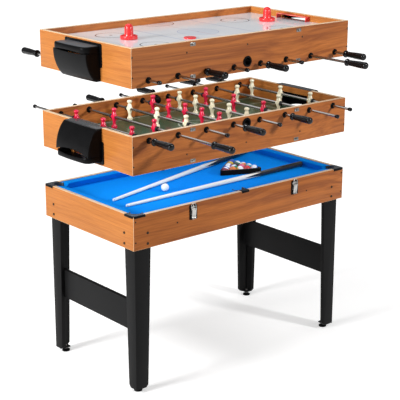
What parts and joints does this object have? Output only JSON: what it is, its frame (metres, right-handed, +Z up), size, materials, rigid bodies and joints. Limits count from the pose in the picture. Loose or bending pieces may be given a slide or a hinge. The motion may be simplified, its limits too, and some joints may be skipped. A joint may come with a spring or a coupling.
{
  "type": "multi game table",
  "caption": "Games table with its tiers held apart: a pool table on legs with cues and a rack, and a reversible rod-football and hockey box shown both ways up.",
  "frame": {"origin": "on the floor, under the middle of the pool base", "axes": "+X along the table to its right end, +Y to its back long side, +Z up"},
  "size_m": [1.2126, 1.141, 1.3303],
  "materials": {
    "wood_look": "orange-brown wood-look laminate on board",
    "black_board": "satin black laminate on board",
    "cloth_on_board": "bright blue cloth over board",
    "cloth_on_rubber": "bright blue cloth over cushion rubber",
    "black_plastic": "satin black moulded plastic",
    "green_field": "printed dark green board",
    "white_rink": "glossy white printed board",
    "rod_metal": "polished tube",
    "chrome": "polished",
    "rubber": "black rubber",
    "cue_wood": "white lacquered",
    "balls": "glossy",
    "red_plastic": "glossy red"
  },
  "bodies": {
    "base": {"front_apron": "wood_look", "back_apron": "wood_look", "left_apron": "wood_look", "right_apron": "wood_look", "pool_bed": "cloth_on_board", "cushion_frame": "cloth_on_rubber", "front_left_leg": "black_board", "front_right_leg": "black_board", "back_left_leg": "black_board", "back_right_leg": "black_board", "left_leg_panel": "black_board", "right_leg_panel": "black_board"},
    "foosball_box": {"foosball_front_board": "wood_look", "foosball_back_board": "wood_look", "foosball_left_board": "wood_look", "foosball_right_board": "wood_look", "foosball_deck": "green_field", "foosball_left_goal_box": "black_plastic", "foosball_right_goal_box": "black_plastic"},
    "hockey_box": {"hockey_frame": "wood_look", "hockey_deck": "white_rink", "hockey_left_goal_box": "black_plastic", "hockey_right_goal_box": "black_plastic"},
    "front_left_foot": {"front_left_foot": "black_plastic"},
    "front_right_foot": {"front_right_foot": "black_plastic"},
    "back_left_foot": {"back_left_foot": "black_plastic"},
    "back_right_foot": {"back_right_foot": "black_plastic"},
    "front_left_latch": {"front_left_latch_lever": "chrome"},
    "front_right_latch": {"front_right_latch_lever": "chrome"},
    "back_left_latch": {"back_left_latch_lever": "chrome"},
    "back_right_latch": {"back_right_latch_lever": "chrome"},
    "back_cue": {"back_cue": "cue_wood"},
    "front_cue": {"front_cue": "cue_wood"},
    "ball_rack": {"ball_rack": "balls"},
    "foosball_bumper_1": {"foosball_bumper_1": "rubber"},
    "foosball_bumper_2": {"foosball_bumper_2": "rubber"},
    "foosball_bumper_3": {"foosball_bumper_3": "rubber"},
    "foosball_bumper_4": {"foosball_bumper_4": "rubber"},
    "foosball_bumper_5": {"foosball_bumper_5": "rubber"},
    "foosball_bumper_6": {"foosball_bumper_6": "rubber"},
    "foosball_bumper_7": {"foosball_bumper_7": "rubber"},
    "foosball_bumper_8": {"foosball_bumper_8": "rubber"},
    "foosball_rod_1": {"foosball_rod_1": "rod_metal"},
    "foosball_rod_2": {"foosball_rod_2": "rod_metal"},
    "foosball_rod_3": {"foosball_rod_3": "rod_metal"},
    "foosball_rod_4": {"foosball_rod_4": "rod_metal"},
    "foosball_rod_5": {"foosball_rod_5": "rod_metal"},
    "foosball_rod_6": {"foosball_rod_6": "rod_metal"},
    "foosball_rod_7": {"foosball_rod_7": "rod_metal"},
    "foosball_rod_8": {"foosball_rod_8": "rod_metal"},
    "hockey_rod_1": {"hockey_rod_1": "rod_metal"},
    "hockey_rod_2": {"hockey_rod_2": "rod_metal"},
    "hockey_rod_3": {"hockey_rod_3": "rod_metal"},
    "hockey_rod_4": {"hockey_rod_4": "rod_metal"},
    "hockey_rod_5": {"hockey_rod_5": "rod_metal"},
    "hockey_rod_6": {"hockey_rod_6": "rod_metal"},
    "hockey_rod_7": {"hockey_rod_7": "rod_metal"},
    "hockey_rod_8": {"hockey_rod_8": "rod_metal"},
    "left_pusher": {"left_pusher": "red_plastic"},
    "right_pusher": {"right_pusher": "red_plastic"}
  },
  "joints": [
    {"name": "foosball_box_lift", "type": "slide", "parent": "base", "child": "foosball_box", "axis": [0, 0, 1], "range_m": [-0.1487, 0]},
    {"name": "hockey_box_lift", "type": "slide", "parent": "foosball_box", "child": "hockey_box", "axis": [0, 0, 1], "range_m": [-0.1687, 0]},
    {"name": "front_left_foot_turn", "type": "hinge", "parent": "base", "child": "front_left_foot", "pos_m": [-0.491, -0.241, 0.01], "axis": [0, 0, 1], "continuous": true},
    {"name": "front_right_foot_turn", "type": "hinge", "parent": "base", "child": "front_right_foot", "pos_m": [0.491, -0.241, 0.01], "axis": [0, 0, 1], "continuous": true},
    {"name": "back_left_foot_turn", "type": "hinge", "parent": "base", "child": "back_left_foot", "pos_m": [-0.491, 0.241, 0.01], "axis": [0, 0, 1], "continuous": true},
    {"name": "back_right_foot_turn", "type": "hinge", "parent": "base", "child": "back_right_foot", "pos_m": [0.491, 0.241, 0.01], "axis": [0, 0, 1], "continuous": true},
    {"name": "front_left_latch_turn", "type": "hinge", "parent": "base", "child": "front_left_latch", "pos_m": [-0.26, -0.2895, 0.678], "axis": [-1, 0, 0], "range_deg": [0, 110]},
    {"name": "front_right_latch_turn", "type": "hinge", "parent": "base", "child": "front_right_latch", "pos_m": [0.26, -0.2895, 0.678], "axis": [-1, 0, 0], "range_deg": [0, 110]},
    {"name": "back_left_latch_turn", "type": "hinge", "parent": "base", "child": "back_left_latch", "pos_m": [-0.26, 0.2895, 0.678], "axis": [1, 0, 0], "range_deg": [0, 110]},
    {"name": "back_right_latch_turn", "type": "hinge", "parent": "base", "child": "back_right_latch", "pos_m": [0.26, 0.2895, 0.678], "axis": [1, 0, 0], "range_deg": [0, 110]},
    {"name": "back_cue_lift", "type": "slide", "parent": "base", "child": "back_cue", "axis": [0, 0, 1], "range_m": [0, 0.1]},
    {"name": "front_cue_lift", "type": "slide", "parent": "base", "child": "front_cue", "axis": [0, 0, 1], "range_m": [0, 0.1]},
    {"name": "ball_rack_lift", "type": "slide", "parent": "base", "child": "ball_rack", "axis": [0, 0, 1], "range_m": [0, 0.1]},
    {"name": "foosball_slide_1", "type": "slide", "parent": "foosball_box", "child": "foosball_bumper_1", "axis": [0, 1, 0], "range_m": [-0.0605, 0.024]},
    {"name": "foosball_slide_2", "type": "slide", "parent": "foosball_box", "child": "foosball_bumper_2", "axis": [0, 1, 0], "range_m": [-0.069, 0.1435]},
    {"name": "foosball_slide_3", "type": "slide", "parent": "foosball_box", "child": "foosball_bumper_3", "axis": [0, 1, 0], "range_m": [-0.075, 0.0655]},
    {"name": "foosball_slide_4", "type": "slide", "parent": "foosball_box", "child": "foosball_bumper_4", "axis": [0, 1, 0], "range_m": [-0.0405, 0.0445]},
    {"name": "foosball_slide_5", "type": "slide", "parent": "foosball_box", "child": "foosball_bumper_5", "axis": [0, 1, 0], "range_m": [-0.0335, 0.0515]},
    {"name": "foosball_slide_6", "type": "slide", "parent": "foosball_box", "child": "foosball_bumper_6", "axis": [0, 1, 0], "range_m": [-0.0825, 0.035]},
    {"name": "foosball_slide_7", "type": "slide", "parent": "foosball_box", "child": "foosball_bumper_7", "axis": [0, 1, 0], "range_m": [-0.121, 0.1075]},
    {"name": "foosball_slide_8", "type": "slide", "parent": "foosball_box", "child": "foosball_bumper_8", "axis": [0, 1, 0], "range_m": [-0.0885, 0.0545]},
    {"name": "foosball_spin_1", "type": "hinge", "parent": "foosball_bumper_1", "child": "foosball_rod_1", "pos_m": [-0.462, 0, 0.967], "axis": [0, 1, 0], "continuous": true},
    {"name": "foosball_spin_2", "type": "hinge", "parent": "foosball_bumper_2", "child": "foosball_rod_2", "pos_m": [-0.33, 0, 0.967], "axis": [0, 1, 0], "continuous": true},
    {"name": "foosball_spin_3", "type": "hinge", "parent": "foosball_bumper_3", "child": "foosball_rod_3", "pos_m": [-0.198, 0, 0.967], "axis": [0, 1, 0], "continuous": true},
    {"name": "foosball_spin_4", "type": "hinge", "parent": "foosball_bumper_4", "child": "foosball_rod_4", "pos_m": [-0.066, 0, 0.967], "axis": [0, 1, 0], "continuous": true},
    {"name": "foosball_spin_5", "type": "hinge", "parent": "foosball_bumper_5", "child": "foosball_rod_5", "pos_m": [0.066, 0, 0.967], "axis": [0, 1, 0], "continuous": true},
    {"name": "foosball_spin_6", "type": "hinge", "parent": "foosball_bumper_6", "child": "foosball_rod_6", "pos_m": [0.198, 0, 0.967], "axis": [0, 1, 0], "continuous": true},
    {"name": "foosball_spin_7", "type": "hinge", "parent": "foosball_bumper_7", "child": "foosball_rod_7", "pos_m": [0.33, 0, 0.967], "axis": [0, 1, 0], "continuous": true},
    {"name": "foosball_spin_8", "type": "hinge", "parent": "foosball_bumper_8", "child": "foosball_rod_8", "pos_m": [0.462, 0, 0.967], "axis": [0, 1, 0], "continuous": true},
    {"name": "hockey_slide_1", "type": "slide", "parent": "hockey_box", "child": "hockey_rod_1", "axis": [0, 1, 0], "range_m": [-0.13, 0.0115]},
    {"name": "hockey_slide_2", "type": "slide", "parent": "hockey_box", "child": "hockey_rod_2", "axis": [0, 1, 0], "range_m": [-0.1335, 0.098]},
    {"name": "hockey_slide_3", "type": "slide", "parent": "hockey_box", "child": "hockey_rod_3", "axis": [0, 1, 0], "range_m": [-0.1355, 0.002]},
    {"name": "hockey_slide_4", "type": "slide", "parent": "hockey_box", "child": "hockey_rod_4", "axis": [0, 1, 0], "range_m": [-0.0835, 0.0015]},
    {"name": "hockey_slide_5", "type": "slide", "parent": "hockey_box", "child": "hockey_rod_5", "axis": [0, 1, 0], "range_m": [-0.0795, 0.0055]},
    {"name": "hockey_slide_6", "type": "slide", "parent": "hockey_box", "child": "hockey_rod_6", "axis": [0, 1, 0], "range_m": [-0.107, 0.0345]},
    {"name": "hockey_slide_7", "type": "slide", "parent": "hockey_box", "child": "hockey_rod_7", "axis": [0, 1, 0], "range_m": [-0.075, 0.1565]},
    {"name": "hockey_slide_8", "type": "slide", "parent": "hockey_box", "child": "hockey_rod_8", "axis": [0, 1, 0], "range_m": [-0.0885, 0.053]},
    {"name": "left_pusher_slide", "type": "slide", "parent": "hockey_box", "child": "left_pusher", "axis": [0, 1, 0], "range_m": [-0.26, 0.214]},
    {"name": "right_pusher_slide", "type": "slide", "parent": "hockey_box", "child": "right_pusher", "axis": [0, 1, 0], "range_m": [-0.278, 0.195]}
  ]
}
